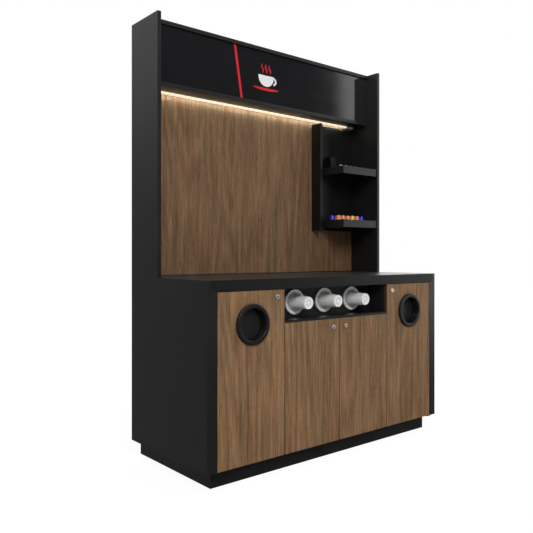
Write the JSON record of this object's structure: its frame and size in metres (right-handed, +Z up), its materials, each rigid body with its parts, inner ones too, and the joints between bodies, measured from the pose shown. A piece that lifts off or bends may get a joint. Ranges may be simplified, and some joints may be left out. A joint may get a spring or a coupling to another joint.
{
  "type": "coffee station",
  "caption": "Self-service coffee station with a base cabinet of lockable doors, waste inlets, a niche of cup dispensers, a lit wooden back wall, a sign header and a hanging capsule shelf.",
  "frame": {"origin": "centre of the whole box at floor level", "axes": "+X to the right of someone facing the doors, +Y from the doors to the back, +Z up"},
  "size_m": [1.6, 0.684, 2.16],
  "materials": {
    "black_laminate": "satin",
    "wood_decor": "satin",
    "gloss_black": "gloss",
    "black_plastic": "satin",
    "bin_plastic": "matte",
    "light_grey_plastic": "satin",
    "clear_grey_plastic": "gloss",
    "soft_grey_rubber": "matte",
    "white_paper": "satin",
    "chrome": "polished",
    "steel": "brushed",
    "aluminium": "satin",
    "lamp_glow": "matte",
    "lamp_board": "matte",
    "driver_case": "matte",
    "capsule_foil": "satin"
  },
  "bodies": {
    "cabinet": {"base_back_panel": "black_laminate", "base_bottom_panel": "black_laminate", "cable_grommet": "black_plastic", "coffee_capsules": "capsule_foil", "counter_top": "black_laminate", "dispenser_flanges": "light_grey_plastic", "dispenser_lip_rings": "soft_grey_rubber", "dispenser_tubes": "clear_grey_plastic", "door_pivot_pins": "steel", "feed_springs": "steel", "header_lower_board": "black_laminate", "header_top_board": "black_laminate", "inner_cheeks": "black_laminate", "lamp_diffuser": "lamp_glow", "lamp_driver": "driver_case", "lamp_light_strip": "lamp_board", "lamp_profile": "aluminium", "left_divider": "black_laminate", "left_side_panel": "black_laminate", "lock_strikes": "steel", "lower_pivot_brackets": "steel", "lower_tray": "black_laminate", "niche_back_panel": "black_laminate", "niche_floor": "black_laminate", "plinth_boards": "black_laminate", "right_divider": "black_laminate", "right_side_panel": "black_laminate", "shelf_back_panel": "black_laminate", "shelf_side_panel": "black_laminate", "sign_panel": "gloss_black", "stirrer_holder": "black_plastic", "upper_rear_panel": "black_laminate", "upper_tray": "black_laminate", "waste_bins": "bin_plastic", "wood_back_panel": "wood_decor"},
    "left_waste_door": {"left_waste_door": "wood_decor", "left_waste_lock_housing": "chrome", "left_waste_collar": "black_plastic"},
    "left_waste_lock": {"left_waste_lock_cam": "steel"},
    "left_flap": {"left_waste_flap": "black_plastic"},
    "left_cupboard_door": {"left_cupboard_door": "wood_decor", "left_cupboard_lock_housing": "chrome"},
    "left_cupboard_lock": {"left_cupboard_lock_cam": "steel"},
    "right_cupboard_door": {"right_cupboard_door": "wood_decor", "right_cupboard_lock_housing": "chrome"},
    "right_cupboard_lock": {"right_cupboard_lock_cam": "steel"},
    "right_waste_door": {"right_waste_door": "wood_decor", "right_waste_lock_housing": "chrome", "right_waste_collar": "black_plastic"},
    "right_waste_lock": {"right_waste_lock_cam": "steel"},
    "right_flap": {"right_waste_flap": "black_plastic"},
    "cup_feed_1": {"cup_stack_1": "white_paper", "cup_pusher_1": "light_grey_plastic"},
    "front_cup_1": {"front_cup_1": "white_paper"},
    "cup_feed_2": {"cup_stack_2": "white_paper", "cup_pusher_2": "light_grey_plastic"},
    "front_cup_2": {"front_cup_2": "white_paper"},
    "cup_feed_3": {"cup_stack_3": "white_paper", "cup_pusher_3": "light_grey_plastic"},
    "front_cup_3": {"front_cup_3": "white_paper"}
  },
  "joints": [
    {"name": "left_waste_door_hinge", "type": "hinge", "parent": "cabinet", "child": "left_waste_door", "pos_m": [-0.7415, -0.3225, 0.4], "axis": [0, 0, -1], "range_deg": [0, 105]},
    {"name": "left_waste_lock_turn", "type": "hinge", "parent": "left_waste_door", "child": "left_waste_lock", "pos_m": [-0.4115, -0.328, 0.815], "axis": [0, 1, 0], "range_deg": [0, 90]},
    {"name": "left_flap_swing", "type": "hinge", "parent": "left_waste_door", "child": "left_flap", "pos_m": [-0.55775, -0.297, 0.757], "axis": [1, 0, 0], "range_deg": [0, 70]},
    {"name": "left_cupboard_door_hinge", "type": "hinge", "parent": "cabinet", "child": "left_cupboard_door", "pos_m": [-0.36, -0.3225, 0.4], "axis": [0, 0, -1], "range_deg": [0, 105]},
    {"name": "left_cupboard_lock_turn", "type": "hinge", "parent": "left_cupboard_door", "child": "left_cupboard_lock", "pos_m": [-0.0445, -0.328, 0.65], "axis": [0, 1, 0], "range_deg": [0, 90]},
    {"name": "right_cupboard_door_hinge", "type": "hinge", "parent": "cabinet", "child": "right_cupboard_door", "pos_m": [0.36, -0.3225, 0.4], "axis": [0, 0, 1], "range_deg": [0, 105]},
    {"name": "right_cupboard_lock_turn", "type": "hinge", "parent": "right_cupboard_door", "child": "right_cupboard_lock", "pos_m": [0.0445, -0.328, 0.65], "axis": [0, -1, 0], "range_deg": [0, 90]},
    {"name": "right_waste_door_hinge", "type": "hinge", "parent": "cabinet", "child": "right_waste_door", "pos_m": [0.7415, -0.3225, 0.4], "axis": [0, 0, 1], "range_deg": [0, 105]},
    {"name": "right_waste_lock_turn", "type": "hinge", "parent": "right_waste_door", "child": "right_waste_lock", "pos_m": [0.4115, -0.328, 0.815], "axis": [0, -1, 0], "range_deg": [0, 90]},
    {"name": "right_flap_swing", "type": "hinge", "parent": "right_waste_door", "child": "right_flap", "pos_m": [0.55775, -0.297, 0.757], "axis": [1, 0, 0], "range_deg": [0, 70]},
    {"name": "cup_feed_1_advance", "type": "slide", "parent": "cabinet", "child": "cup_feed_1", "axis": [0, -1, 0], "range_m": [0, 0.012]},
    {"name": "front_cup_1_pull", "type": "slide", "parent": "cup_feed_1", "child": "front_cup_1", "axis": [0, -1, 0], "range_m": [0, 0.12]},
    {"name": "cup_feed_2_advance", "type": "slide", "parent": "cabinet", "child": "cup_feed_2", "axis": [0, -1, 0], "range_m": [0, 0.012]},
    {"name": "front_cup_2_pull", "type": "slide", "parent": "cup_feed_2", "child": "front_cup_2", "axis": [0, -1, 0], "range_m": [0, 0.12]},
    {"name": "cup_feed_3_advance", "type": "slide", "parent": "cabinet", "child": "cup_feed_3", "axis": [0, -1, 0], "range_m": [0, 0.012]},
    {"name": "front_cup_3_pull", "type": "slide", "parent": "cup_feed_3", "child": "front_cup_3", "axis": [0, -1, 0], "range_m": [0, 0.12]}
  ]
}
